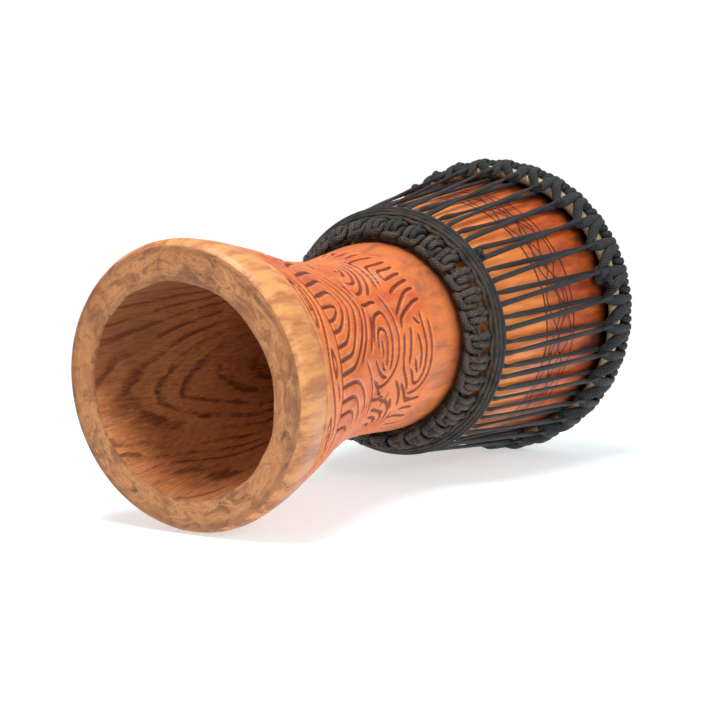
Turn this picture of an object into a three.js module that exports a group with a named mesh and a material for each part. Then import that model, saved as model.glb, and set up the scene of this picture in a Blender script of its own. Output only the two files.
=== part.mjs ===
// A small rope-tuned goblet drum (djembe), standing on its foot, +Z along the drum, millimetres.
// One carved wooden shell, a goatskin head folded round a flesh ring, a crown ring and a waist ring
// each carrying a rope of hitches, one zig-zag lacing between them, two turns of spare rope round
// the waist, the tail knot under the crown and the cut end above the waist.
import * as THREE from "three";

// ---- sizes of the whole drum ----
const HEIGHT = 466; // floor to playing surface
const FOOT_R = 90; // outer radius of the flat foot face
const MOUTH_R = 70.5; // radius of the foot opening
const NECK_R = 66.6; // narrowest outer radius of the stem
const RIM_R = 110.5; // outer radius of the bowl at the bearing edge
const WALL = 9; // wall of the bowl at the bearing edge
const THROAT_R = 44; // narrowest radius of the bore

// ---- rope, rings and skin ----
const ROPE_D = 4.2; // braided rope
const ROD_D = 6; // steel rod of the three rings
const SKIN_T = 1.4; // goatskin
const GAP = 0.3; // clearance between touching pieces
const SNUG = 0.9; // clearance of the rope wrapped round a rod
const LOOPS = 32; // hitches on each ring
const WAIST_RING_Z = 251; // height of the waist ring

// ---- meshing ----
const AROUND = 40; // facets of turned pieces
const ROPE_SIDES = 5;

// ---- derived sizes ----
const ROPE_R = ROPE_D / 2;
const ROD_R = ROD_D / 2;
const LAY = ROPE_D + GAP; // centre distance of two ropes side by side
const WRAP = ROD_R + SNUG + ROPE_R; // rod centre to wrapped rope centre
const BUNDLE = WRAP + ROPE_R; // rod centre to the outside of the wraps
const PITCH = (2 * Math.PI) / LOOPS;
const FOLD_IN = ROD_R + 0.2 + GAP; // flesh ring centre to the inside of the skin fold
const SKIN_FOLD = FOLD_IN + SKIN_T; // flesh ring centre to the outside of the skin fold

const waistRing = { r: NECK_R + 15.7, z: WAIST_RING_Z };
const crownRing = { r: RIM_R + SKIN_T + 2 * GAP + BUNDLE + 1.4, z: HEIGHT - 13 };
const fleshRing = {
  r: RIM_R + SKIN_T + 2 * GAP + SKIN_FOLD + 1.4,
  z: crownRing.z - ROD_R - SKIN_FOLD - ROPE_D - 0.6,
};

// ---- outer and inner profile of the shell ----

// Smooth curve r(z) through knots [z, r], rising or falling no further than its knots.
function smooth(knots) {
  const slope = knots.map((_, i) => {
    if (i === 0 || i === knots.length - 1) return 0;
    const [a, b, c] = [knots[i - 1], knots[i], knots[i + 1]];
    const left = (b[1] - a[1]) / (b[0] - a[0]);
    const right = (c[1] - b[1]) / (c[0] - b[0]);
    return left * right <= 0 ? 0 : (2 * left * right) / (left + right);
  });
  return (z) => {
    let i = 0;
    while (i < knots.length - 2 && z > knots[i + 1][0]) i += 1;
    const [z0, r0] = knots[i];
    const [z1, r1] = knots[i + 1];
    const h = z1 - z0;
    const t = Math.min(Math.max((z - z0) / h, 0), 1);
    const rise = t * t * (3 - 2 * t);
    const a = t * (1 - t) * (1 - t);
    const b = t * t * (t - 1);
    return r0 + (r1 - r0) * rise + h * (a * slope[i] + b * slope[i + 1]);
  };
}

// The stem flares to the foot below and to a seat cut for the wrapped waist ring above. From the
// seat the underside of the bowl opens at about 45 degrees up to the shoulder, and from there the
// bowl runs nearly straight to the rim, so that the lacing can pass over it without touching.
const seat = waistRing.r - BUNDLE - 2 * GAP;
const bowlStart = waistRing.z + BUNDLE;
const bowlHeight = HEIGHT - bowlStart;
const stem = waistRing.z - BUNDLE;
const archTop = ROD_R + 2 * GAP + ROPE_D + ROPE_R; // waist ring to the top of its arches
const lacePass = { r: waistRing.r + WRAP - 1.711 * LAY, z: waistRing.z + archTop + 0.39 * LAY };
const shoulder = { r: waistRing.r + 12.4, z: bowlStart + 20.1 };
const rimStart = bowlStart + 0.88 * bowlHeight;
const belly = (share, bulge) => [
  shoulder.z + share * (rimStart - shoulder.z),
  shoulder.r + share * (RIM_R - shoulder.r) + bulge,
];

const outerKnots = [
  [0, FOOT_R],
  [0.02 * stem, FOOT_R + 4],
  [0.046 * stem, FOOT_R + 5.3],
  [0.1 * stem, FOOT_R + 3.8],
  [0.165 * stem, FOOT_R + 0.5],
  [0.245 * stem, NECK_R + 0.83 * (FOOT_R - NECK_R)],
  [0.33 * stem, NECK_R + 0.6 * (FOOT_R - NECK_R)],
  [0.45 * stem, NECK_R + 0.27 * (FOOT_R - NECK_R)],
  [0.575 * stem, NECK_R + 1.4],
  [0.69 * stem, NECK_R],
  [0.84 * stem, NECK_R + 2.8],
  [0.97 * stem, seat - 0.7],
  [waistRing.z, seat],
  [bowlStart - 0.6, seat + 1.7],
  [lacePass.z - 0.2, lacePass.r - 1.81 * ROPE_R],
  [lacePass.z + 1.9 * ROPE_R, lacePass.r + 1.14 * ROPE_R],
  [bowlStart + 13.2, waistRing.r + 6.7],
  [shoulder.z, shoulder.r],
  belly(0.067, 0.6),
  belly(0.233, 0.5),
  belly(0.514, 0.5),
  belly(0.795, 0.4),
  [rimStart, RIM_R],
  [HEIGHT, RIM_R],
];
const outerRadius = smooth(outerKnots);

// The bore narrows from the mouth to the throat and opens again under the bowl.
const bore = (share) => THROAT_R + share * (MOUTH_R - THROAT_R);
const hollow = (share) => THROAT_R + share * (RIM_R - WALL - THROAT_R);
const innerKnots = [
  [0, MOUTH_R],
  [0.115 * stem, bore(0.94)],
  [0.383 * stem, bore(0.51)],
  [0.69 * stem, bore(0.06)],
  [0.92 * stem, THROAT_R],
  [bowlStart + 0.01 * bowlHeight, hollow(0.226)],
  [bowlStart + 0.19 * bowlHeight, hollow(0.704)],
  [bowlStart + 0.55 * bowlHeight, hollow(0.93)],
  [HEIGHT, hollow(1)],
];
const innerRadius = smooth(innerKnots);

// ---- makers shared by the pieces ----

function mesh(name, geometry, colour, roughness, metalness = 0) {
  const material = new THREE.MeshStandardMaterial({ color: colour, roughness, metalness });
  const piece = new THREE.Mesh(geometry, material);
  piece.name = name;
  return piece;
}

// Turns a closed profile of [r, z] round +Z.
function turned(profile) {
  const points = profile.map(([r, z]) => new THREE.Vector2(r, z));
  const onAxis = profile[0][0] === 0 && profile[profile.length - 1][0] === 0;
  if (!onAxis) points.push(points[0].clone());
  return new THREE.LatheGeometry(points, AROUND).rotateX(Math.PI / 2);
}

function polar(angle, r, z) {
  return new THREE.Vector3(r * Math.cos(angle), r * Math.sin(angle), z);
}

// Closed rope through a ring of points, its cross-section carried round without twist.
function ropeLoop(points, radius, sides = ROPE_SIDES) {
  const count = points.length;
  const ahead = points.map((p, i) => {
    const before = points[(i + count - 1) % count].clone().sub(p).normalize();
    const after = points[(i + 1) % count].clone().sub(p).normalize();
    return after.sub(before).normalize();
  });
  const up = [perpendicular(points[0].clone().setZ(0), ahead[0])];
  for (let i = 1; i <= count; i += 1) up.push(perpendicular(up[i - 1].clone(), ahead[i % count]));
  const twist = signedAngle(up[count], up[0], ahead[0]);
  const corners = [];
  for (let i = 0; i < count; i += 1) {
    for (let j = 0; j < sides; j += 1) {
      const turn = (twist * i) / count + (2 * Math.PI * j) / sides;
      const out = up[i].clone().applyAxisAngle(ahead[i], turn).multiplyScalar(radius);
      corners.push(points[i].clone().add(out));
    }
  }
  const faces = [];
  for (let i = 0; i < count; i += 1) {
    const next = (i + 1) % count;
    for (let j = 0; j < sides; j += 1) {
      const a = i * sides + j;
      const b = i * sides + ((j + 1) % sides);
      const c = next * sides + ((j + 1) % sides);
      const d = next * sides + j;
      faces.push(a, b, c, a, c, d);
    }
  }
  return solid(corners, faces);
}

function solid(corners, faces) {
  const geometry = new THREE.BufferGeometry().setFromPoints(corners);
  geometry.setIndex(faces);
  geometry.computeVertexNormals();
  return geometry;
}

function perpendicular(vector, axis) {
  return vector.addScaledVector(axis, -vector.dot(axis)).normalize();
}

function signedAngle(from, to, axis) {
  const side = new THREE.Vector3().crossVectors(from, to).dot(axis);
  return Math.atan2(side, from.dot(to));
}

// Plain ring of round section lying level.
function levelRing({ r, z }, radius, sides = ROPE_SIDES) {
  const points = [];
  for (let i = 0; i < AROUND; i += 1) points.push(polar((2 * Math.PI * i) / AROUND, r, z));
  return ropeLoop(points, radius, sides);
}

// ---- pieces ----

function shell() {
  const top = HEIGHT - SKIN_T - GAP;
  const between = (knots) => knots.slice(1, -1).map(([z]) => z);
  const profile = [
    [FOOT_R - 1, 0],
    [FOOT_R + 1.2, 1],
    ...between(outerKnots).map((z) => [outerRadius(z), z]),
    [RIM_R, top - 3.4],
    [RIM_R - 2.9, top],
    [RIM_R - WALL + 2, top],
    ...between(innerKnots).reverse().map((z) => [innerRadius(z), z]),
    [MOUTH_R, 1.5],
    [MOUTH_R + 1, 0],
  ];
  return mesh("shell", turned(profile), 0xb0602c, 0.55);
}

// The skin runs over the bearing edge, down the shell and round the flesh ring from inside.
function head() {
  const face = RIM_R + GAP;
  const round = (radius, degrees) => {
    const a = THREE.MathUtils.degToRad(degrees);
    return [fleshRing.r + radius * Math.cos(a), fleshRing.z + radius * Math.sin(a)];
  };
  const profile = [
    [0, HEIGHT - SKIN_T],
    [face - 3, HEIGHT - SKIN_T],
    [face, HEIGHT - SKIN_T - 3.4],
    [face, fleshRing.z + 2.6 * SKIN_FOLD],
    ...[180, 232, 284, 336, 388].map((d) => round(SKIN_FOLD, d)),
    ...[388, 336, 284, 232, 172].map((d) => round(FOLD_IN, d)),
    [face + SKIN_T, fleshRing.z + 2.6 * SKIN_FOLD],
    [face + SKIN_T, HEIGHT - 3],
    [face - 1.5, HEIGHT],
    [0, HEIGHT],
  ];
  return mesh("head", turned(profile), 0xc9ab80, 0.7);
}

function rings() {
  return [
    mesh("flesh_ring", levelRing(fleshRing, ROD_R - 0.1), 0x55585c, 0.4, 1),
    mesh("crown_ring", levelRing(crownRing, ROD_R), 0x55585c, 0.4, 1),
    mesh("waist_ring", levelRing(waistRing, ROD_R), 0x55585c, 0.4, 1),
  ];
}

// One hitch after another round a ring. Each hitch is a hanging loop whose far leg passes right
// round the rod and comes out beside the next loop. `reach` lists the loop as
// [sideways, outward, along], the last two from the rod centre.
function hitches(name, ring, towards, reach) {
  const points = [];
  const gap = ring.r * PITCH;
  for (let k = 0; k < LOOPS; k += 1) {
    const middle = (towards > 0 ? k : k + 0.5) * PITCH;
    const place = (side, out, along) => {
      points.push(polar(middle + side / ring.r, ring.r + out, ring.z + towards * along));
    };
    const leg = reach[reach.length - 1][0];
    reach.slice().reverse().forEach(([side, out, along]) => place(-side, out, along));
    reach.forEach(([side, out, along]) => place(side, out, along));
    const wrap = [[0, -25], [0, -85], [0.04, -145], [0.2, -205], [0.5, -265]];
    wrap.forEach(([share, degrees]) => {
      const a = THREE.MathUtils.degToRad(degrees);
      const side = leg + share * (gap - 2 * leg);
      place(side, WRAP * Math.cos(a), WRAP * Math.sin(a));
    });
  }
  return mesh(name, ropeLoop(points, ROPE_R), 0x23221f, 0.8);
}

// Centre lines of the loops: the arch over the waist ring and the drop below the crown ring.
const waistReach = [
  [0.467 * LAY, WRAP - 0.667 * LAY, archTop + 0.4],
  [1.07 * LAY, WRAP - 0.7, archTop - 0.98 * LAY],
];
const bundleOut = fleshRing.r + SKIN_FOLD + GAP + ROPE_R - crownRing.r;
const underFold = crownRing.z - fleshRing.z + SKIN_FOLD + 2 * GAP + ROPE_D + ROPE_R;
const dropOut = RIM_R + 1.55 * ROPE_D + 2 * GAP - crownRing.r;
const crownReach = [
  [3, dropOut, underFold + 0.1],
  [1.2 * LAY, bundleOut - 1.7, underFold - 5.6],
  [LAY / 2 + 0.4, bundleOut + 0.5, crownRing.z - fleshRing.z - 3],
];

function crownHitches() {
  return hitches("crown_hitches", crownRing, -1, crownReach);
}

function waistHitches() {
  return hitches("waist_hitches", waistRing, 1, waistReach);
}

// Where the lacing lies on the opening of the bowl, at a height above the waist ring.
function onBowl(along, lift) {
  const z = waistRing.z + along;
  return { r: outerRadius(z) + lift * (ROPE_R + GAP), z };
}

const laceLow = onBowl(archTop + 1.35 * LAY, 1.85);
const laceHigh = onBowl(BUNDLE + 18.9, 1.85);

// Waist turns lie over the lacing, the upper one further out on the opening bowl.
function waistTurns() {
  const length = Math.hypot(laceHigh.r - laceLow.r, laceHigh.z - laceLow.z);
  const up = { r: (laceHigh.r - laceLow.r) / length, z: (laceHigh.z - laceLow.z) / length };
  const over = (along, out) => ({
    r: laceLow.r + along * up.r + out * up.z,
    z: laceLow.z + along * up.z - out * up.r,
  });
  const centres = [over(0.43 * LAY, 1.26 * LAY), over(1.42 * LAY, 1.06 * LAY)];
  return centres.map((centre, i) =>
    mesh(`waist_turn_${i + 1}`, levelRing(centre, ROPE_R), 0x262522, 0.8),
  );
}

// The lacing threads each arch of the waist and each drop of the crown in turn, and on its way
// lies on the opening of the bowl under the waist turns.
function lacing() {
  const points = [];
  const atWaist = (turn, side, out, along) => {
    points.push(polar(turn * PITCH + side / waistRing.r, waistRing.r + out, waistRing.z + along));
  };
  const dropZ = crownRing.z - underFold;
  const dropR = crownRing.r + dropOut;
  const atCrown = (turn, side, out, along) => {
    points.push(polar((turn + 0.5) * PITCH + side / dropR, dropR + out, dropZ + along));
  };
  for (let k = 0; k < LOOPS; k += 1) {
    atWaist(k, 0, WRAP - 0.444 * LAY, ROD_R + ROPE_R);
    atWaist(k, 0.3, -0.6, ROD_R + GAP + ROPE_R + 0.31 * LAY);
    points.push(polar(k * PITCH + 1.2 / waistRing.r, lacePass.r, lacePass.z));
    points.push(polar((k + 0.2) * PITCH, laceLow.r, laceLow.z));
    points.push(polar((k + 0.27) * PITCH, laceHigh.r, laceHigh.z));
    atCrown(k, -0.2, -1.16 * LAY, 1.3);
    atCrown(k, 0, 0, LAY + GAP + 0.3);
    atCrown(k, 0.2, 1.16 * LAY, 1.3);
    points.push(polar((k + 0.73) * PITCH, laceHigh.r, laceHigh.z));
    points.push(polar((k + 0.8) * PITCH, laceLow.r + 0.2, laceLow.z));
    atWaist(k + 1, -0.3, WRAP + 0.36 * LAY, archTop - 0.22 * LAY);
  }
  return mesh("lacing", ropeLoop(points, ROPE_R), 0x262522, 0.8);
}

// Overhand knot pulled tight: a closed trefoil of rope in the plane facing outwards.
function knot(name, turn, r, z, size) {
  const points = [];
  const steps = 24;
  for (let i = 0; i < steps; i += 1) {
    const t = (2 * Math.PI * (i + 0.5)) / steps;
    points.push(
      new THREE.Vector3(
        size * 0.32 * Math.sin(3 * t),
        size * (0.17 * Math.sin(t) + 0.34 * Math.sin(2 * t)),
        size * (0.17 * Math.cos(t) - 0.34 * Math.cos(2 * t)),
      ),
    );
  }
  const piece = mesh(name, ropeLoop(points, 0.13 * size, 4), 0x1d1c1a, 0.85);
  piece.position.copy(polar(turn * PITCH, r, z));
  piece.rotation.z = turn * PITCH;
  return piece;
}

const group = new THREE.Group();
group.name = "djembe";
group.add(shell(), head(), ...rings(), crownHitches(), waistHitches(), ...waistTurns(), lacing());
group.add(knot("tail_knot", 27, crownRing.r + dropOut + 1, fleshRing.z - SKIN_FOLD - 12, 12));
const endPlace = onBowl(BUNDLE + 16.3, 3.9);
group.add(knot("end_knot", 24.5, endPlace.r, endPlace.z, 6));
export default group;
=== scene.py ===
# %% [markdown]
# # A small rope-tuned goblet drum
# The drum is one carved trunk of wood with a goatskin held over its wide end by rings and a black
# rope. The measured frame gives every piece its place and size. This notebook builds the shown
# pieces on top of it: the carved shell, the skin, the hidden rods and all the rope work.
#
# Everything is in metres, the drum stands on its foot at the origin, and +Z runs along the drum.

import math

import bpy
import numpy as np
from mathutils import Matrix, Vector


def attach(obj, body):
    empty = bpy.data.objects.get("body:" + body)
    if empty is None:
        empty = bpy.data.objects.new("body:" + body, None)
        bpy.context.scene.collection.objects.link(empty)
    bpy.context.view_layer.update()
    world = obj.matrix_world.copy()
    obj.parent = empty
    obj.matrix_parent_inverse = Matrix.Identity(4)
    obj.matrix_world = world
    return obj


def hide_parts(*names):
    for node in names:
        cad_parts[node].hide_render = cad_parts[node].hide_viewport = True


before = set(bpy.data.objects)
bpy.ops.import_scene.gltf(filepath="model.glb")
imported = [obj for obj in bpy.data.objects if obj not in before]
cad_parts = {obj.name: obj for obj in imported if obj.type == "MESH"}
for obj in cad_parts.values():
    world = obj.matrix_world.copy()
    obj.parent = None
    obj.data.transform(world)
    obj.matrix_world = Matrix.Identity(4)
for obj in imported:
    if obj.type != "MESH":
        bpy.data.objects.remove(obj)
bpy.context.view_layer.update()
MM = 0.001
print("nodes", sorted(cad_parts))

# %% [markdown]
# ## The camera
# The drum lies on its side and is seen into the open foot, with a long lens so that the far end
# stays large. The camera's three axes are written out in the drum's own frame, which is exact and
# easier than chaining turns: first the picture's right, then its up, then the way back to the lens.

# %% Place the camera
CAMERA_PLACE = Vector((0.29742, -0.51467, -0.71026))
CAMERA_RIGHT = Vector((0.633358, -0.573702, 0.519348))
CAMERA_UP = Vector((-0.729001, -0.667495, 0.151682))
CAMERA_BACK = Vector((0.259642, -0.474675, -0.840993))

lens = bpy.data.cameras.new("camera")
lens.lens = 72.5
lens.sensor_width = 36
lens.clip_start = 0.01
camera = bpy.data.objects.new("camera", lens)
bpy.context.scene.collection.objects.link(camera)
axes = Matrix((CAMERA_RIGHT, CAMERA_UP, CAMERA_BACK)).transposed().to_4x4()
camera.matrix_world = Matrix.Translation(CAMERA_PLACE) @ axes
bpy.context.scene.camera = camera
print("camera at", tuple(round(c, 3) for c in CAMERA_PLACE))

# %% [markdown]
# ## Writing shaders as sums
# A procedural finish is mostly arithmetic on numbers that change over the surface. A small class
# wraps a socket so that `1 - mask` or `wave * 0.5` adds the Math nodes by itself, and one class
# holds a finish: its nodes, and short methods for the few kinds of node that it needs.


# %% Numbers that change over a surface
class Reading:
    """A socket's output that can be added, multiplied and compared like a number."""

    def __init__(self, finish, socket):
        self.finish = finish
        self.socket = socket

    def math(self, operation, *others, first=None):
        values = [self if first is None else first, *others]
        return self.finish.node("ShaderNodeMath", {"operation": operation}, dict(enumerate(values)))

    def __add__(self, other):
        return self.math("ADD", other)

    def __sub__(self, other):
        return self.math("SUBTRACT", other)

    def __mul__(self, other):
        return self.math("MULTIPLY", other)

    def __truediv__(self, other):
        return self.math("DIVIDE", other)

    def __rsub__(self, other):
        return self.math("SUBTRACT", self, first=other)

    def __pow__(self, other):
        return self.math("POWER", other)

    __radd__ = __add__
    __rmul__ = __mul__

    def sin(self):
        return self.math("SINE")

    def abs(self):
        return self.math("ABSOLUTE")

    def most(self, other):
        return self.math("MAXIMUM", other)

    def rise(self, low, high):
        """0 below low, 1 above high and a smooth slope between; low may be the larger."""
        sockets = {"Value": self, "From Min": low, "From Max": high}
        return self.finish.node("ShaderNodeMapRange", {"interpolation_type": "SMOOTHSTEP"}, sockets)


print("readings ready")


# %% A finish and its nodes
class Finish:
    """One material, built from nodes by short calls."""

    def __init__(self, name):
        self.material = bpy.data.materials.new(name)
        self.material.use_nodes = True
        self.tree = self.material.node_tree
        self.surface = self.tree.nodes["Principled BSDF"]
        place = self.tree.nodes.new("ShaderNodeTexCoord").outputs["Object"]
        self.place = Reading(self, place)
        split = self.tree.nodes.new("ShaderNodeSeparateXYZ")
        self.tree.links.new(place, split.inputs[0])
        self.x, self.y, self.z = [Reading(self, out) for out in split.outputs]

    def plug(self, value, socket):
        if isinstance(value, Reading):
            self.tree.links.new(value.socket, socket)
        else:
            socket.default_value = value

    def node(self, kind, settings, sockets, output=0):
        made = self.tree.nodes.new(kind)
        for name, value in settings.items():
            setattr(made, name, value)
        for name, value in sockets.items():
            self.plug(value, made.inputs[name])
        return Reading(self, made.outputs[output])

    def stretched(self, x, y, z, offset=(0, 0, 0)):
        """The place on the piece, stretched along each axis, for patterns that run one way."""
        sockets = {"Vector": self.place, "Scale": (x, y, z), "Location": offset}
        return self.node("ShaderNodeMapping", {}, sockets)

    def noise(self, where, scale, detail=3.0, roughness=0.5, distortion=0.0):
        sockets = {"Vector": where, "Scale": scale, "Detail": detail}
        sockets.update({"Roughness": roughness, "Distortion": distortion})
        return self.node("ShaderNodeTexNoise", {}, sockets)

    def attribute(self, name):
        return self.node("ShaderNodeAttribute", {"attribute_name": name}, {}, "Fac")

    def vector(self, x, y, z):
        return self.node("ShaderNodeCombineXYZ", {}, {"X": x, "Y": y, "Z": z})

    def mix(self, share, low, high):
        sockets = {0: share, 6: low, 7: high}
        return self.node("ShaderNodeMix", {"data_type": "RGBA"}, sockets, 2)

    def bump(self, height, distance, strength):
        sockets = {"Height": height, "Distance": distance, "Strength": strength}
        return self.node("ShaderNodeBump", {}, sockets)

    def set(self, **sockets):
        for name, value in sockets.items():
            self.plug(value, self.surface.inputs[name.replace("_", " ")])


def colour(red, green, blue):
    """A colour as mixed on a paint chart, 0 to 255, turned into the light it sends back."""
    parts = [c / 255 for c in (red, green, blue)]
    return (*[p / 12.92 if p <= 0.04045 else ((p + 0.055) / 1.055) ** 2.4 for p in parts], 1.0)


print("tan wood sends back", [round(c, 3) for c in colour(210, 150, 100)])

# %% [markdown]
# ## Turning a profile
# Shell and skin are turned shapes. A circle primitive has its corners moved onto the closed
# profile, and Spin sweeps it once round the drum's axis. This is how a wood turner thinks too:
# one cut outline, one full turn. Doubles at the seam are merged and the normals recalculated.


# %% A turned piece
def only(piece):
    """Selects this piece and nothing else."""
    bpy.ops.object.select_all(action="DESELECT")
    piece.select_set(True)
    bpy.context.view_layer.objects.active = piece


def turned(name, profile, steps):
    """Spins a closed outline of (r, z) round +Z. Corners at r = 0 become the two poles."""
    bpy.ops.object.select_all(action="DESELECT")
    bpy.ops.mesh.primitive_circle_add(vertices=len(profile), radius=0.1)
    piece = bpy.context.object
    piece.name = name
    corners = np.array([(r, 0, z) for r, z in profile])
    piece.data.vertices.foreach_set("co", corners.ravel())
    bpy.ops.object.mode_set(mode="EDIT")
    bpy.ops.mesh.select_mode(type="EDGE")
    bpy.ops.mesh.select_all(action="DESELECT")
    bpy.ops.object.mode_set(mode="OBJECT")
    for edge in piece.data.edges:
        edge.select = all(corners[v][0] < 1e-7 for v in edge.vertices)
    bpy.ops.object.mode_set(mode="EDIT")
    bpy.ops.mesh.delete(type="EDGE")
    bpy.ops.mesh.select_all(action="SELECT")
    bpy.ops.mesh.spin(steps=steps, angle=2 * math.pi, center=(0, 0, 0), axis=(0, 0, 1))
    bpy.ops.mesh.select_all(action="SELECT")
    bpy.ops.mesh.remove_doubles(threshold=1e-6)
    bpy.ops.mesh.normals_make_consistent(inside=False)
    bpy.ops.mesh.select_all(action="DESELECT")
    bpy.ops.object.mode_set(mode="OBJECT")
    return piece


def corners_of(piece):
    places = np.empty(len(piece.data.vertices) * 3)
    piece.data.vertices.foreach_get("co", places)
    return places.reshape(-1, 3)


def move_corners(piece, places):
    piece.data.vertices.foreach_set("co", places.ravel())
    piece.data.update()


def keep_number(piece, name, values):
    """Stores one number per corner, for the finish to read."""
    layer = piece.data.attributes.new(name, "FLOAT", "POINT")
    layer.data.foreach_set("value", values.astype(np.float32))


def triangles(piece):
    return sum(len(face.vertices) - 2 for face in piece.data.polygons)


print("turning tools ready")

# %% [markdown]
# ## The shell's outline
# The shell is carved from one log: a flared foot, a narrow stem, a seat for the waist ring, the
# steep underside of the bowl and then the nearly straight bowl. The outline passes through
# measured heights and radii, joined by a curve that never swings past them.


# %% Outside and inside of the shell
def through(knots):
    """A smooth radius for any height, through knots of (z, r) in millimetres."""
    height, radius = np.array(knots, float).T
    slope = np.zeros(len(height))
    rise = np.diff(radius) / np.diff(height)
    same = rise[:-1] * rise[1:] > 0
    total = np.where(same, rise[:-1] + rise[1:], 1)
    slope[1:-1] = np.where(same, 2 * rise[:-1] * rise[1:] / total, 0)

    def at(z):
        z = np.clip(np.asarray(z, float), height[0], height[-1])
        i = np.clip(np.searchsorted(height, z) - 1, 0, len(height) - 2)
        span = height[i + 1] - height[i]
        t = (z - height[i]) / span
        ease = t * t * (3 - 2 * t)
        bend = t * (1 - t) ** 2 * slope[i] + t * t * (t - 1) * slope[i + 1]
        return radius[i] + (radius[i + 1] - radius[i]) * ease + span * bend

    return at


FOOT = [(0, 90), (4.9, 94), (11.2, 95.3), (24.3, 93.8), (40.1, 90.5), (59.5, 86), (80.2, 80.6)]
STEM = [(109.3, 72.9), (139.7, 68), (167.6, 66.6), (204, 69.4), (235.6, 72.9), (251, 73.6)]
OPENING = [(258.5, 75.3), (262.5, 76.8), (266.7, 83), (272.3, 89), (279.2, 94.7)]
BOWL = [(290, 96.4), (317, 98.9), (362.5, 103.3), (408, 107.7), (441.2, 110.5), (466, 110.5)]
BORE = [(0, 70.5), (27.9, 68.9), (93, 57.5), (167.6, 45.6), (223.5, 44), (261.2, 57)]
HOLLOW = [(298.4, 84.5), (372.9, 97.5), (466, 101.5)]
outside = through(FOOT + STEM + OPENING + BOWL)
inside = through(BORE + HOLLOW)
print("stem radius", float(outside(167.6)), "bore radius", float(inside(167.6)))

# %% [markdown]
# The carved belt needs small faces, the bowl and the hidden inside far fewer. The outline is
# therefore sampled unevenly, the spin makes 240 strips, and the belt's faces alone are divided
# once more before anything is carved.

# %% Turn the shell
BELT = (27.0, 217.0)
STRIPS = 240
belt_rows = np.linspace(*BELT, 74)
rows_out = [2.2, 3.6, 6, 9, 12.5, 17, 22, *belt_rows, 222, 228, 234, 240, 246, 251, 255, 258.5]
rows_out += [262.5, 264.6, 266.7, 269.5, 272.3, 275.8, 279.2, *np.arange(284, 458, 7)]
rows_in = [*np.arange(458, 300, -12), *np.arange(296, 8, -6.5), 6.5, 4]
outline = [(89.3, 0), (90.6, 0.4), (91.6, 1.2)]
outline += [(float(outside(z)), z) for z in rows_out]
outline += [(110.5, 460.9), (109.4, 463.1), (107.6, 464.3), (103.5, 464.3)]
outline += [(float(inside(z)), z) for z in rows_in]
outline += [(70.4, 2.2), (70.8, 0.8), (71.8, 0.1), (73.0, 0)]
shell = turned("carved_shell", [(r * MM, z * MM) for r, z in outline], STRIPS)

for face in shell.data.polygons:
    height = face.center.z / MM
    beyond = face.center.xy.length - float(inside(height)) * MM
    face.select = BELT[0] < height < BELT[1] and beyond > 6 * MM
only(shell)
bpy.ops.object.mode_set(mode="EDIT")
bpy.ops.mesh.select_mode(type="FACE")
bpy.ops.mesh.subdivide(number_cuts=1)
bpy.ops.mesh.select_all(action="DESELECT")
bpy.ops.object.mode_set(mode="OBJECT")
print("shell has", triangles(shell), "triangles")

# %% [markdown]
# ## The carving
# The belt is cut with a gouge, freehand. Its motifs come three times round the stem: nested
# arches standing on a line, two nests of ovals above them, a row of hooks beside a flat oval at
# the top, and a band of closed eyes below. Each cut is written as a short route of angle,height
# pairs in degrees and millimetres, so one can read the drawing like a list of strokes.


# %% The strokes of one third of the belt
def strokes(text):
    """Reads strokes that end in a semicolon, each a run of angle,height pairs."""
    runs = [run.split() for run in text.split(";")]
    return [[tuple(map(float, spot.split(","))) for spot in run] for run in runs if run]


ARCHES = strokes(
    """
    282,60 280.6,75 280.4,87 284,83 287.6,73 288.6,61;
    276,62 273.4,78 271,91 274,97 280,100 287,90 292.6,77 294,61;
    269.6,62 266,80 262.4,94 266,101 273,106 280,109.5 287,102 294,92 299.4,80 300.6,61;
    263,62 258.6,80 254.4,99 262,108 271,115 280,118.5 290,110.5 299,98 305.4,86 306.6,61;
    256.6,63 250,79 243.4,100 250,112 261,119 271,124.5 281,127 291,121 301,110 308,98 312,86
    312.6,61;
    318.2,60 318.4,84 320,95 324.4,104 331,111.5 340,118 347,120 353,112 359,98 365,80 370,63;
    324.8,60 325.2,83 327.6,92.4 333,100 341,107 346,109 350,103 354.4,92 359,78 364,62;
    331.2,61 331.8,79 334,88 338.6,95 344.4,99 347.6,95 351,84 354.2,74 357.6,62;
    338,61 339,75 342,84 345.4,87.4 347.8,80 350,70 351.4,62;
    282,133.4 290,128 300,119 307,110 312,103;
    288,138.6 294,134 301,128.6 308,122;
    234,133 242,127 248,121;
    320,119 328,126 340,131 350,134;
    312,112 318,118 325,124;
    258,134 266,131 274,131.6;
    262,127 268,129.4;
    340,124.4 350,127.4 358,124;
    326,133.6 333,137.6 337,144;
    """
)
NESTS = strokes(
    """
    239,140 240,148 244,155 249,153.6 254,150 256.4,145;
    247,149.4 250,148 250.6,144 247,142;
    232,139 235,151 240,159.6 248,160.6 256,156.6 262,151 264,145 262.4,138;
    226,138 229,152 235,163 241,166.6 250,166 259,161 267,153 271.4,146 272.4,138;
    221,146 224,158 230,168 240,172.6 252,171 262,166.4 269,160 274,152;
    279.4,155 278.8,148 280.2,142 280,134;
    236,178 250,178.2 262,175 270.6,170;
    303,143.8 308,143.4 313,143;
    309,137.6 301,138.6 296,143 296.4,150.6 302,152 310,150 319,147.4;
    316,141.6 320,142.4 321,145;
    303,131.6 296,136.6 289,142 286.8,149 286,156 292,158.6 300,159.4 308,158.2 316,155.4 322,152.6;
    313.4,130 317,132.6 321,136.6 325.4,143 326,148;
    275,163 280,165.6 290,168 300,168.6 310,167.2 318,164 325,158 329.6,150 331.6,142 329.6,134
    324,127;
    339,149 339.4,138 336.6,128.6;
    """
)
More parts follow.
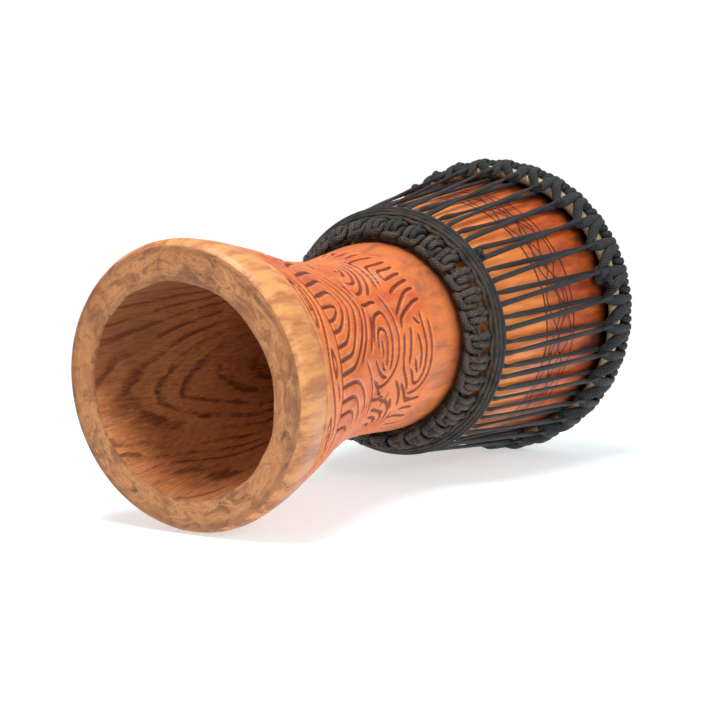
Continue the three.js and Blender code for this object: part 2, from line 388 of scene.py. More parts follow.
HOOKS = strokes(
    """
    244.4,205 242.6,195 241,187 242,179.4;
    251.6,208 251.8,197 250.6,184.6 256,181.8 263,179.6 269,177;
    257.6,208.4 258.6,199 257,189.4 262,187.4 266.6,186.6;
    264,207.6 264.4,198 266,188.4;
    270,209 271,198 273,188 275.8,181;
    276.4,208.6 277,198 281,189.4 286.6,180 290.6,174;
    284.2,208 284.8,199.4 287.4,192 290.4,183 294,177.4 299,175.6;
    304.6,192.6 311,194.6 318,195.4 327,194;
    328.6,191 324,188.6 319.6,187.2;
    292,201.6 300,200.2 312,202.2 325,201 332.4,198.8 336.6,193.6 335.4,188.6 330,185.4 325.4,182;
    300,186 306,184 315,181.6 321.6,179.8;
    298,208.4 312,209 325,208 334,205 340,199 342.8,192 342,186;
    338.6,183 331,177.6 325,173 319.4,171.6 311,174 303,176.4;
    331,164 335,169 342,175 350,179;
    343.2,163 347,167.4 352,171;
    352,160.6 354,163.6;
    337,157 343,155 347,150;
    334,172.6 341,181 347,186 347.6,194;
    235.6,203 234.6,194 235,185.4;
    228,206 227.6,197 229,188;
    294,192 298,195.4 299,198;
    """
)
EYES = strokes(
    """
    266,42 272,45.6 280,46.2 287,43.4 291.6,39.4 284,37.4 276,37.2 269,40 266,42;
    274,41.6 279,42.6 284,41;
    327,40.2 333,44 341,46.8 348,45 353.4,41 346,37.2 336,37.2 327,40.2;
    334,41 340,42.8 346.4,41.2;
    299.6,48 304,51.4 310,51 313,48.2 306,45.8 299.6,48;
    314,50 318,52.6 322,54;
    240,49 246,52.4 252,50 246,46.6 240,49;
    """
)


def round_line(middle, swing, waves, start):
    """A line that runs right round, rising and falling a little."""
    turns = range(230, 352, 5)
    return [(a, middle + swing * math.cos(math.radians(waves * a - start))) for a in turns]


LINES = [round_line(46, 5.8, 6, 1674), round_line(60.2, 0.5, 9, 90), round_line(32, 1.3, 3, 50)]
STROKES = ARCHES + NESTS + HOOKS + EYES + LINES
print(len(STROKES), "strokes in each third")

# %% [markdown]
# A gouge leaves a round-bottomed channel that starts and ends shallow. For every stroke the
# nearby corners of the belt are pushed in by that channel's depth. The depth is also kept as a
# number on each corner, because the finish paints shade into the cuts and a painted highlight
# along their edges.


# %% Routes with rounded corners
def rounded(points, reach, step, closed=False, straight=None):
    """A route through points whose corners are bent within reach, sampled about every step."""
    points = np.asarray(points, float)
    count = len(points)
    route = []
    for i, corner in enumerate(points):
        if not closed and i in (0, count - 1):
            route.append(corner[None])
            continue
        before = points[i - 1] - corner
        after = points[(i + 1) % count] - corner
        entry = corner + before * min(0.5, reach / max(np.linalg.norm(before), 1e-9))
        leave = corner + after * min(0.5, reach / max(np.linalg.norm(after), 1e-9))
        bend = np.linalg.norm(entry - corner) + np.linalg.norm(leave - corner)
        n = max(2, int(np.ceil(bend / step)))
        t = np.linspace(0, 1, n + 1)[:, None]
        route.append((1 - t) ** 2 * entry + 2 * t * (1 - t) * corner + t * t * leave)
    route = np.concatenate(route)
    if closed:
        route = np.concatenate([route, route[:1]])
    keep = [route[0]]
    for a, b in zip(route[:-1], route[1:]):
        gap = np.linalg.norm(b - a)
        if gap < 0.25 * step:
            continue
        n = max(1, int(round(gap / (straight or step))))
        keep.extend(a + (b - a) * (j + 1) / n for j in range(n))
    keep = np.array(keep)
    return keep[:-1] if closed else keep


print("a rounded square has", len(rounded([(0, 0), (9, 0), (9, 9), (0, 9)], 3, 1, True)), "points")


# %% Cut the belt
GOUGE_DEPTH = 1.8
GOUGE_HALF_WIDTH = (1.95, 2.35)
THIRDS = 3


def wander(angle, height, seed, waves=10, finest=9, longest=120.0):
    """Gentle unevenness of handwork, from -1 to 1, the same on both sides of the seam."""
    dice = np.random.RandomState(seed)
    total = np.zeros_like(angle)
    for _ in range(waves):
        around = dice.randint(1, finest + 1)
        along = 2 * math.pi / dice.uniform(longest / 4, longest) * dice.choice([-1, 1])
        total += np.sin(around * angle + along * height + dice.uniform(0, 6.28))
    return total / math.sqrt(waves) / 1.6


def cut_depth(angle, height, radius):
    """How deep the gouge went at each corner, from 0 to 1."""
    dice = np.random.RandomState(7)
    depth = np.zeros(len(angle))
    for third in range(THIRDS):
        for stroke in STROKES:
            nudge = dice.normal(0, 0.35, (len(stroke), 2)) if third else 0
            line = np.array(stroke, float) + nudge
            line[:, 0] = np.radians(line[:, 0] + 360 / THIRDS * third)
            size = np.interp(line[:, 1].mean(), height_steps, radius_steps)
            flat = rounded(line * [size, 1], 5.0, 1.6)
            wide = dice.uniform(*GOUGE_HALF_WIDTH)
            turn = (angle - flat[:, 0].mean() / size + math.pi) % (2 * math.pi) - math.pi
            x = turn * radius
            centre = flat[:, 0].mean()
            near = (np.abs(x) < np.ptp(flat[:, 0]) / 2 + 12)
            near &= (height > flat[:, 1].min() - 4) & (height < flat[:, 1].max() + 4)
            spots = np.nonzero(near)[0]
            if not len(spots):
                continue
            scale = radius[spots] / size
            here = np.stack([x[spots] / scale, height[spots]], 1)
            start, end = flat[:-1] - [centre, 0], flat[1:] - [centre, 0]
            along = end - start
            length = np.linalg.norm(along, axis=1)
            walked = np.concatenate([[0], np.cumsum(length)])
            best = np.full(len(spots), 9.0)
            for a, d, l, done in zip(start, along, length, walked):
                t = np.clip(((here - a) @ d) / (l * l), 0, 1)
                gap = np.linalg.norm(here - a - t[:, None] * d, axis=1)
                run = np.minimum(done + t * l, walked[-1] - done - t * l)
                best = np.minimum(best, gap / (wide * np.clip(0.45 + run / 5, 0, 1)))
            best = np.clip(best, 0, 1)
            depth[spots] = np.maximum(depth[spots], (1 - best**2) ** 1.5)
    return depth


places = corners_of(shell)
radius = np.hypot(places[:, 0], places[:, 1]) / MM
angle = np.arctan2(places[:, 1], places[:, 0])
height = places[:, 2] / MM
height_steps = np.linspace(0, 464, 233)
radius_steps = outside(height_steps)
wall_middle = (outside(height) + inside(height)) / 2
is_outside = (radius > wall_middle) & (height > 1.5)
belt = np.nonzero(is_outside & (height > BELT[0]) & (height < BELT[1]))[0]
cut = np.zeros(len(radius))
cut[belt] = cut_depth(angle[belt], height[belt], radius[belt])
print("carved corners", int((cut > 0.1).sum()))

# %% [markdown]
# The rest of the shell is handwork too. The outside wanders by a few tenths of a millimetre, the
# opening of the foot was trimmed with an adze and is slightly many-sided and oval, and the bore
# keeps the shallow scallops of the tool that hollowed it.

# %% Give the shell its handmade unevenness
OUTSIDE_SWING = 0.35
SCALLOP_DEPTH = 0.5
MOUTH_CUTS = 11
HELD_FROM = 238
TOP_FROM = 455
facets = np.abs(((angle * MOUTH_CUTS / (2 * math.pi) + 0.3 * np.sin(2 * angle)) % 1) - 0.5)
push = np.zeros(len(radius))
push -= np.where(is_outside, GOUGE_DEPTH * cut, 0)
push += np.where(is_outside, OUTSIDE_SWING * wander(angle, height, 3, finest=6), 0)
low_edge = np.clip(1 - height / 26, 0, 1)
scallops = wander(angle, height, 5, waves=26, finest=26, longest=60)
push += np.where(is_outside, 0, SCALLOP_DEPTH * scallops * np.clip(height / 6, 0, 1))
oval = 1.1 + 1.6 * np.cos(angle - math.radians(42)) + np.cos(2 * angle - math.radians(276))
push += np.where(is_outside | (radius > 76), 0, low_edge * (2.2 * facets - 0.7 + oval))
push[is_outside & (height > HELD_FROM)] = 0
push[height > TOP_FROM] = 0
new_radius = radius + push
places[:, 0] = new_radius * np.cos(angle) * MM
places[:, 1] = new_radius * np.sin(angle) * MM
move_corners(shell, places)
keep_number(shell, "cut", cut)
keep_number(shell, "inner", np.where(is_outside, 0.0, 1.0))
only(shell)
bpy.ops.object.shade_smooth_by_angle(angle=math.radians(50))
print("pushed in at most", round(float(-push.min()), 1), "mm")

# %% [markdown]
# ## The wood
# Growth rings are nested tubes round the log's heart. Where the bore cuts through them at a slant
# they show as long U shapes, so the finish measures the distance from a heart line that runs
# beside the drum's axis, bends that distance with slow noise, and turns it into dark and light
# wood. Fine fibres run along the log. Outside, a red-brown stain covers the belt and the bowl;
# it is thin on the foot. Painted shade darkens every cut, the honey band on the side that faces
# the floor, the collar next to the waist rope and the bowl under the rim and its rope, and a
# painted highlight lines the edges of the cuts. Two thin rings and the crossing waves between
# them are burnt into the bowl with a hot wire.


# %% Finish of the shell
WAVES = [
    (0.354, 0.0085, 9, 0.0), (0.356, 0.0080, 9, 2.8), (0.362, 0.0100, 7, 1.2),
    (0.368, 0.0090, 10, 4.1), (0.371, 0.0080, 9, 0.9),
]


def wood_finish():
    wood = Finish("stained_carved_wood")
    cut_in = wood.attribute("cut")
    inner = wood.attribute("inner")
    around = wood.y.math("ARCTAN2", wood.x)
    reach = (wood.x * wood.x + wood.y * wood.y) ** 0.5

    slow = wood.noise(wood.stretched(1, 1, 0.4), 9, 2, 0.5, 0.4)
    sway = wood.noise(wood.stretched(1, 1, 0.25, (0.4, 0, 0)), 34, 3, 0.5)
    streak = wood.noise(wood.stretched(1, 1, 0.1), 130, 4, 0.6)
    heart_x = wood.x + 0.016 + (slow - 0.5) * 0.03
    heart_y = wood.y - 0.026 + (sway - 0.5) * 0.012 + (streak - 0.5) * 0.0025
    ring = (heart_x * heart_x + heart_y * heart_y) ** 0.5 + (slow - 0.5) * 0.03
    years = (ring * 1150 + sway * 2.5).sin() * 0.5 + 0.5
    thin_years = (ring * 3300 + slow * 6).sin() * 0.5 + 0.5
    fibre = wood.noise(wood.stretched(1, 1, 0.06), 900, 3, 0.6)
    cloud = wood.noise(wood.place, 14, 3, 0.5)
    patch = wood.noise(wood.stretched(1, 1, 0.5, (1, 2, 3)), 42, 4, 0.6, 0.8)
    knots = wood.noise(wood.stretched(1, 1, 0.5, (3, 1, 2)), 21, 1, 0.4)

    fine_run = wood.noise(wood.stretched(1, 1, 0.05, (5, 5, 0)), 620, 4, 0.75)
    beside = (ring * 4200 + sway * 9).sin().rise(0.2, 1.0) * years.rise(0.55, 0.9)
    dark_line = (years**4).most(beside * 0.8)
    shown_line = dark_line * patch.rise(0.34, 0.6)
    grain = shown_line * 0.6 + thin_years * sway * 0.25 + streak * 0.55 + fine_run * 0.3 - 0.1
    raw_light = wood.mix(cloud.rise(0.3, 0.7), colour(224, 146, 90), colour(192, 116, 68))
    raw = wood.mix(grain.rise(0.3, 0.95) * 0.8, raw_light, colour(104, 48, 24))
    raw = wood.mix(knots.rise(0.66, 0.74) * 0.6, raw, colour(74, 40, 24))
    raw = wood.mix(fibre.rise(0.5, 0.75) * 0.35, raw, colour(92, 50, 30))
    raw = wood.mix(fine_run.rise(0.5, 0.62) * 0.28, raw, colour(96, 50, 28))
    raw = wood.mix(fine_run.rise(0.48, 0.38) * 0.25, raw, colour(240, 170, 108))

    end_grain = wood.z.rise(0.0035, 0.0012) * inner
    round_foot = wood.vector(wood.x / reach * 0.035, wood.y / reach * 0.035, reach)
    swirl = wood.noise(round_foot, 150, 5, 0.65, 0.8)
    foot_light = wood.mix(swirl.rise(0.34, 0.6), colour(150, 92, 58), colour(214, 146, 92))
    foot_light = wood.mix(cloud.rise(0.42, 0.62) * 0.5, foot_light, colour(196, 124, 72))
    stains = patch.rise(0.5, 0.7) * 0.6 + swirl.rise(0.55, 0.66) * 0.6
    foot = wood.mix(stains, foot_light, colour(108, 70, 52))
    rim_dirt = reach.rise(0.0855, 0.0895).most(reach.rise(0.0745, 0.0715))
    foot = wood.mix(rim_dirt * 0.35, foot, colour(84, 52, 38))
    foot = wood.mix(fibre.rise(0.45, 0.7) * 0.35, foot, colour(104, 66, 48))
    cracks = wood.noise(wood.place, 60, 5, 0.6, 1.5)
    cracked = (cracks - 0.5).abs().rise(0.006, 0.001) * patch.rise(0.48, 0.6)
    foot = wood.mix(cracked * 0.7, foot, colour(60, 34, 22))

    honey = wood.mix(streak.rise(0.35, 0.65), colour(228, 158, 92), colour(180, 110, 64))
    honey = wood.mix(cloud.rise(0.4, 0.75) * 0.35, honey, colour(168, 104, 64))
    # Painted shade: the honey band is darker on the side that faces the floor. Its dark flecks are
    # partly real streaks of stain and partly painted shade, and they are laid only on that side.
    side = (around + 0.75).sin()
    flecks = streak.rise(0.42, 0.62) * fibre.rise(0.4, 0.6)
    honey = wood.mix(side.rise(-0.4, 0.9) * 0.35, honey, colour(176, 104, 62))
    honey = wood.mix(side.rise(-0.4, 0.9) * flecks * 0.75, honey, colour(96, 56, 34))
    pores = wood.noise(wood.stretched(1, 1, 0.35), 1500, 2, 0.6)
    rough_cut = wood.noise(wood.stretched(1, 1, 0.6), 420, 4, 0.65, 0.6)
    stain = wood.mix(patch.rise(0.35, 0.7), colour(230, 114, 52), colour(194, 84, 42))
    stain = wood.mix(cloud.rise(0.45, 0.62) * 0.6, stain, colour(232, 124, 48))
    stain = wood.mix(streak.rise(0.45, 0.7) * 0.45, stain, colour(228, 146, 94))
    stain = wood.mix(rough_cut.rise(0.5, 0.7) * 0.35, stain, colour(150, 66, 38))
    stain = wood.mix(pores.rise(0.62, 0.7) * 0.45, stain, colour(96, 44, 26))
    # Painted highlight: the rim of every cut is lightened.
    painted_cut_edge_highlight = cut_in.rise(0.0, 0.08) * cut_in.rise(0.4, 0.12)
    stain = wood.mix(painted_cut_edge_highlight * 0.4, stain, colour(236, 156, 100))
    # Painted shade: the deeper parts of every cut are darkened.
    stain = wood.mix(cut_in.rise(0.1, 0.7) * 0.9, stain, colour(112, 42, 22))
    collar = wood.mix(patch.rise(0.4, 0.75), colour(220, 122, 66), colour(168, 92, 60))
    slant = wood.noise(wood.stretched(1, 0.6, 0.25, (2, 0, 4)), 90, 4, 0.6, 0.8)
    collar = wood.mix(slant.rise(0.48, 0.68) * 0.5, collar, colour(120, 72, 56))
    # Painted shade: the collar darkens towards the waist rope.
    collar = wood.mix(wood.z.rise(0.23, 0.25) * 0.85, collar, colour(92, 42, 26))

    edge = wood.z + (patch - 0.5) * 0.02
    outer = wood.mix(edge.rise(0.026, 0.046), honey, stain)
    outer = wood.mix(edge.rise(0.207, 0.216), outer, collar)
    bowl_low = wood.mix(streak.rise(0.35, 0.7), colour(252, 156, 74), colour(230, 114, 48))
    bowl_high = wood.mix(streak.rise(0.3, 0.7), colour(230, 108, 36), colour(168, 62, 20))
    climb = wood.z + (cloud - 0.5) * 0.07 + (patch - 0.5) * 0.05 + (streak - 0.5) * 0.02
    bowl = wood.mix(climb.rise(0.29, 0.39), bowl_low, bowl_high)
    # Painted shade: the bowl darkens to near black under the rim and the crown rope.
    bowl = wood.mix(climb.rise(0.395, 0.45), bowl, colour(40, 14, 8))
    outer = wood.mix(wood.z.rise(0.256, 0.262), outer, bowl)

    drift = wood.z + (slow - 0.5) * 0.006 + (sway - 0.5) * 0.002
    burnt = (drift - 0.341).abs().rise(0.0016, 0.0008)
    burnt = burnt.most((drift - 0.384).abs().rise(0.0014, 0.0007))
    for middle, reach_up, times, start in WAVES:
        line = (around * times + start + sway * 1.5).sin() * reach_up + middle
        burnt = burnt.most((drift - line).abs().rise(0.0014, 0.0007) * 0.9)
    between = (drift - 0.361).abs().rise(0.024, 0.012)
    outer = wood.mix(between * patch.rise(0.3, 0.55) * 0.4, outer, colour(158, 60, 30))
    outer = wood.mix(burnt * 0.9, outer, colour(34, 12, 8))

    shade = (around + 0.75).sin().rise(0.6, -0.5) * wood.z.rise(0.12, 0.03)
    bore = wood.mix(shade * 0.6, raw, colour(92, 44, 24))
    inner_look = wood.mix(end_grain, bore, foot)
    base = wood.mix(inner, outer, inner_look)

    rough_in = 0.62 + (fibre - 0.5) * 0.2
    rough_out = 0.42 + (patch - 0.5) * 0.25 + cut_in * 0.15
    rough = rough_out + (rough_in - rough_out) * inner
    relief = fibre * 0.5 + streak * 0.7 + grain * 0.25 + rough_cut * 0.9 - burnt * 1.5
    normal = wood.bump(relief, 0.0007, 0.5)
    wood.set(Base_Color=base, Roughness=rough, Normal=normal)
    wood.set(Coat_Weight=(1 - inner) * 0.15, Coat_Roughness=0.3, Specular_IOR_Level=0.38)
    return wood.material


shell.data.materials.append(wood_finish())
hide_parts("shell")
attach(shell, "root")
print("shell finished,", triangles(shell), "triangles")

# %% [markdown]
# ## The goatskin
# The skin lies flat over the bearing edge, runs down the bowl and is folded round a rod from
# inside to outside. It dried hard, so the fold is slightly rumpled. It is turned like the shell,
# then its fold is pushed about a little.

# %% Turn the skin
FOLD = (118.8, 440.3)
RUMPLE = 0.35


def fold_arc(radius, start, end, steps):
    turns = np.radians(np.linspace(start, end, steps))
    return [(FOLD[0] + radius * math.cos(a), FOLD[1] + radius * math.sin(a)) for a in turns]


over = [(0, 464.6), (30, 464.6), (60, 464.6), (85, 464.6), (100, 464.6), (107.8, 464.6)]
over += [(109.6, 463.4), (110.8, 461.2), (110.8, 457), (110.8, 453), (111.4, 447)]
back = [(112.4, 447), (112.2, 453), (112.2, 458), (112.2, 462), (111.6, 464.4), (109.3, 466)]
back += [(104, 466), (90, 466.1), (70, 466.1), (50, 466.1), (30, 466.1), (12, 466.1), (0, 466.1)]
fold = fold_arc(4.9, 180, 392, 17) + fold_arc(4.1, 399, 399, 1) + fold_arc(3.5, 390, 176, 16)
skin_outline = over + fold + back
skin = turned("goatskin_head", [(r * MM, z * MM) for r, z in skin_outline], 192)
places = corners_of(skin)
radius = np.hypot(places[:, 0], places[:, 1]) / MM
angle = np.arctan2(places[:, 1], places[:, 0])
height = places[:, 2] / MM
rumple = wander(angle, height * 2, 11, waves=20, finest=48, longest=30)
in_fold = np.clip((449 - height) / 6, 0, 1) * np.clip((radius - 113) / 3, 0, 1)
radius += RUMPLE * rumple * in_fold
places[:, 0] = radius * np.cos(angle) * MM
places[:, 1] = radius * np.sin(angle) * MM
move_corners(skin, places)
only(skin)
bpy.ops.object.shade_smooth_by_angle(angle=math.radians(50))
print("skin has", triangles(skin), "triangles")

# %% [markdown]
# Shaved goatskin is cream, cloudy, and darker along the line of the animal's back, with a fringe
# of short hairs left near the edge. The cloud is low noise, the back line a soft stripe across
# the middle, and fine pores are a bump.


# %% Finish of the skin
def skin_finish():
    hide = Finish("shaved_goatskin")
    reach = (hide.x * hide.x + hide.y * hide.y) ** 0.5
    cloud = hide.noise(hide.place, 22, 5, 0.6, 0.5)
    veins = hide.noise(hide.stretched(1, 0.35, 1), 60, 4, 0.65, 1.2)
    pores = hide.noise(hide.place, 1500, 2, 0.5)
    hairs = hide.noise(hide.stretched(1, 0.12, 0.4), 700, 3, 0.6)
    cream = hide.mix(cloud.rise(0.35, 0.7), colour(226, 206, 170), colour(198, 168, 124))
    cream = hide.mix(veins.rise(0.52, 0.75) * 0.35, cream, colour(150, 112, 74))
    back_line = (hide.x + (cloud - 0.5) * 0.02).abs().rise(0.022, 0.002)
    cream = hide.mix(back_line * 0.45, cream, colour(136, 98, 62))
    fringe = reach.rise(0.088, 0.108) * hairs.rise(0.48, 0.62)
    cream = hide.mix(fringe * 0.55, cream, colour(84, 60, 42))
    # Painted shade: the lower part of the fold, under the crown rope, is darkened to tan.
    painted_fold_shade = reach.rise(0.1135, 0.1175) * hide.z.rise(0.4475, 0.4455)
    cream = hide.mix(painted_fold_shade * 0.5, cream, colour(190, 160, 118))
    hide.set(Base_Color=cream, Roughness=0.5 + (cloud - 0.5) * 0.3)
    hide.set(Normal=hide.bump(pores * 0.4 + veins + hairs * 0.5, 0.0004, 0.4))
    return hide.material


skin.data.materials.append(skin_finish())
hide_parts("head")
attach(skin, "root")
print("skin finished")

# %% [markdown]
# ## The rods
# Three welded steel rings carry the rope: one inside the skin's fold, one above it and one at the
# waist. They are all but hidden, so a plain torus of the right size is enough, in dull steel.


# %% Three rings
def steel_finish():
    steel = Finish("dull_steel_rod")
    wear = steel.noise(steel.place, 240, 4, 0.6)
    steel.set(Base_Color=steel.mix(wear, colour(96, 98, 102), colour(58, 54, 52)))
    steel.set(Roughness=0.35 + wear * 0.3, Metallic=1.0)
    return steel.material


steel_look = steel_finish()


def rod_ring(name, node, ring_radius, ring_height, rod_radius):
    bpy.ops.object.select_all(action="DESELECT")
    bpy.ops.mesh.primitive_torus_add(
        major_radius=ring_radius * MM,
        minor_radius=rod_radius * MM,
        major_segments=160,
        minor_segments=16,
        location=(0, 0, ring_height * MM),
    )
    ring = bpy.context.object
    ring.name = name
    bpy.ops.object.transform_apply(location=True, rotation=True, scale=True)
    bpy.ops.object.shade_smooth()
    ring.data.materials.append(steel_look)
    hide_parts(node)
    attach(ring, "root")
    return ring


CROWN = (122.0, 453.0)
WAIST = (82.3, 251.0)
rod_ring("flesh_rod", "flesh_ring", *FOLD, 2.9)
rod_ring("crown_rod", "crown_ring", *CROWN, 3.0)
rod_ring("waist_rod", "waist_ring", *WAIST, 3.0)
print("three rods placed")

# %% [markdown]
# ## The rope
# One kind of rope does all the work: a soft black braid, about four millimetres thick, that
# flattens where it is pulled tight. It is made as a sweep: an oval section carried along a route,
# its flat side turned towards the piece that it presses on. Round and along the rope it keeps a
# UV map in metres, so that the braid in its finish follows every bend.


# %% Sweep a rope along a route
ROPE_SIDES = 12


def frames_along(route, facing, pull):
    """A steady sideways pair at every sample that leans towards the wanted facing."""
    ahead = np.roll(route, -1, 0) - np.roll(route, 1, 0)
    ahead /= np.linalg.norm(ahead, axis=1)[:, None]
    wanted = facing - (facing * ahead).sum(1)[:, None] * ahead
    strength = np.linalg.norm(wanted, axis=1)
    wanted /= np.maximum(strength, 1e-9)[:, None]
    normal = wanted[0].copy()
    out = np.empty_like(route)
    for _ in range(2):
        for i in range(len(route)):
            normal = normal - normal.dot(ahead[i]) * ahead[i]
            normal /= max(np.linalg.norm(normal), 1e-9)
            normal = normal + pull[i] * strength[i] * wanted[i]
            normal /= max(np.linalg.norm(normal), 1e-9)
            out[i] = normal - normal.dot(ahead[i]) * ahead[i]
            out[i] /= max(np.linalg.norm(out[i]), 1e-9)
    return ahead, out


def rope(name, route, facing, width, thick, twist=None, pull=None):
    """A closed rope of oval section. Route in millimetres, width and thick per sample."""
    count = len(route)
    width = np.broadcast_to(width, count)
    thick = np.broadcast_to(thick, count)
    pull = np.full(count, 0.25) if pull is None else pull
    ahead, normal = frames_along(route, facing, pull)
    if twist is not None:
        side = np.cross(ahead, normal)
        normal = normal * np.cos(twist)[:, None] + side * np.sin(twist)[:, None]
    side = np.cross(ahead, normal)
    turn = 2 * math.pi * np.arange(ROPE_SIDES) / ROPE_SIDES
    across = side[:, None] * (np.cos(turn) * width[:, None] / 2)[:, :, None]
    upward = normal[:, None] * (np.sin(turn) * thick[:, None] / 2)[:, :, None]
    corners = (route[:, None] + across + upward).reshape(-1, 3) * MM
    i = np.repeat(np.arange(count), ROPE_SIDES)
    j = np.tile(np.arange(ROPE_SIDES), count)
    row, next_row = i * ROPE_SIDES, (i + 1) % count * ROPE_SIDES
    next_j = (j + 1) % ROPE_SIDES
    faces = np.stack([row + j, row + next_j, next_row + next_j, next_row + j], 1)
    mesh = bpy.data.meshes.new(name)
    mesh.from_pydata(corners, [], faces.tolist())
    step = np.linalg.norm(np.roll(route, -1, 0) - route, axis=1) * MM
    walked = np.concatenate([[0], np.cumsum(step)])
    low_u, high_u = j / ROPE_SIDES, (j + 1) / ROPE_SIDES
    low_v, high_v = walked[i], walked[i + 1]
    loops = np.stack([low_u, low_v, high_u, low_v, high_u, high_v, low_u, high_v], 1)
    layer = mesh.uv_layers.new(name="along_rope")
    layer.data.foreach_set("uv", loops.ravel())
    piece = bpy.data.objects.new(name, mesh)
    bpy.context.scene.collection.objects.link(piece)
    only(piece)
    bpy.ops.object.mode_set(mode="EDIT")
    bpy.ops.mesh.select_all(action="SELECT")
    bpy.ops.mesh.normals_make_consistent(inside=False)
    bpy.ops.object.mode_set(mode="OBJECT")
    bpy.ops.object.shade_smooth()
    print(name, round(walked[-1], 2), "m of rope,", triangles(piece), "triangles")
    return piece


# %% [markdown]
# The braid of a solid-core cord is two families of strands that cross over each other. Two
# slanting waves on the UV map make that pattern as a bump, and also as painted shade between the
# strands and a painted highlight on their crowns. Pulled-tight rope looks smooth and faintly blue
# where it is rubbed; at the waist years of dust sit in the braid.


# %% Finish of the rope
def rope_finish():
    cord = Finish("black_braided_rope")
    uv = cord.node("ShaderNodeUVMap", {"uv_map": "along_rope"}, {})
    split = cord.node("ShaderNodeSeparateXYZ", {}, {"Vector": uv})
    round_it = Reading(cord, split.socket.node.outputs["X"])
    along = Reading(cord, split.socket.node.outputs["Y"])
    left = (round_it * (6 * 2 * math.pi) + along * 2100).sin()
    right = (round_it * (6 * 2 * math.pi) - along * 2100).sin()
    braid = left.most(right) * 0.5 + 0.5
    rub = cord.noise(cord.place, 90, 4, 0.6)
    fuzz = cord.noise(cord.place, 2600, 2, 0.7)
    at_waist = cord.z.rise(0.272, 0.262)
    dark = cord.mix(rub.rise(0.35, 0.7), colour(17, 18, 20), colour(34, 36, 39))
    # Painted shade in the gaps between the strands, then a painted highlight on their crowns.
    dark = cord.mix((1 - braid) * 0.9, dark, colour(4, 4, 4))
    dark = cord.mix(braid.rise(0.8, 1.0) * 0.35, dark, colour(64, 66, 68))
    dust = at_waist * rub.rise(0.36, 0.56) * fuzz.rise(0.48, 0.6) * braid.rise(0.3, 0.8)
    dark = cord.mix(dust * 0.85, dark, colour(146, 116, 86))
    cord.set(Base_Color=dark, Roughness=0.52 + (rub - 0.5) * 0.3)
    cord.set(Normal=cord.bump(braid + fuzz * 0.5, 0.0007, 0.8))
    cord.set(Sheen_Weight=0.05, Specular_IOR_Level=0.4)
    return cord.material


rope_look = rope_finish()


def finish_rope(piece, node):
    piece.data.materials.append(rope_look)
    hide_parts(node)
    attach(piece, "root")
    return piece


print("rope finish ready")

# %% [markdown]
# ## Hitches on the two rings
# Each ring is covered by one rope that is hitched on thirty-two times. At the waist a hitch is an
# arch that stands up over the ring, one full wrap beside it and a short bar across its legs. At
# the crown it hangs down as a loop below the skin's fold, one of its legs slants along the rim to
# the next place, and two wraps bulge outwards. One hitch is a list of points, repeated round the
# ring.

# %% The waist hitches
LOOPS = 32
PITCH = 2 * math.pi / LOOPS


def on_ring(middle, side, r, z):
    a = middle * PITCH + side / r
    return (r * math.cos(a), r * math.sin(a), z)


def round_rod(ring, side, degrees, reach):
    a = math.radians(degrees)
    return (side, ring[0] + reach * math.cos(a), ring[1] + reach * math.sin(a))


def up_from(ring, side, out, along):
    return (side, ring[0] + out, ring[1] + along)


def repeated(hitch, offset, seed, loose, hand=1):
    """One hitch for every place on the ring, each a little different; hand -1 mirrors it."""
    dice = np.random.RandomState(seed)
    places = []
    for k in range(LOOPS):
        lean, reach, lift = dice.normal(0, loose, 3)
        for side, r, z in hitch:
            middle, along = hand * (k + offset), hand * (side + lean)
            places.append(on_ring(middle, along, r + 0.25 * reach, z + 0.3 * lift))
    return np.array(places)


def away_from_rod(route, ring):
    flat = np.hypot(route[:, 0], route[:, 1])
    out = flat - ring[0]
    up = route[:, 2] - ring[1]
    return np.stack([route[:, 0] / flat * out, route[:, 1] / flat * out, up], 1) / 6


waist_hitch = [round_rod(WAIST, -2.6, d, 7.0) for d in (-100, -55, -12)]
waist_arch = [(-3.7, 6.8, 4.4), (-4.4, 6.1, 7.8), (-3.1, 5.2, 10.6), (0, 4.8, 12.0)]
waist_hitch += [up_from(WAIST, *p) for p in waist_arch]
waist_hitch += [up_from(WAIST, -s, o, a) for s, o, a in waist_arch[2::-1]]
sides_down = [2.6, 2.6, 3.0, 4.4, 6.0, 7.4, 8.0, 8.1, 8.0]
waist_hitch += [
    round_rod(WAIST, s, -12 - 48 * i, 7.0 if i < 2 else 4.9) for i, s in enumerate(sides_down)
]
cross_bar = [(7.2, -90, 6.8), (3.2, -98, 9.0), (-2.2, -98, 9.0), (-5.0, -112, 8.0)]
cross_bar += [(-5.2, -135, 7.2), (-2.2, -150, 6.8), (3.4, -156, 6.4), (9.4, -145, 5.8)]
waist_hitch += [round_rod(WAIST, *spot) for spot in cross_bar]
waist_hitch += [round_rod(WAIST, 12.0, -122, 5.8)]
route = rounded(repeated(waist_hitch, 0, 21, 0.55), 3.2, 1.5, closed=True)
from_rod = np.hypot(np.hypot(route[:, 0], route[:, 1]) - WAIST[0], route[:, 2] - WAIST[1])
loose_part = np.clip((from_rod - 5.2) / 1.4, 0, 1)
width, thick = 4.1 + loose_part, 3.5 + 0.7 * loose_part
waist_rope = rope("waist_hitch_rope", route, away_from_rod(route, WAIST), width, thick)
finish_rope(waist_rope, "waist_hitches")

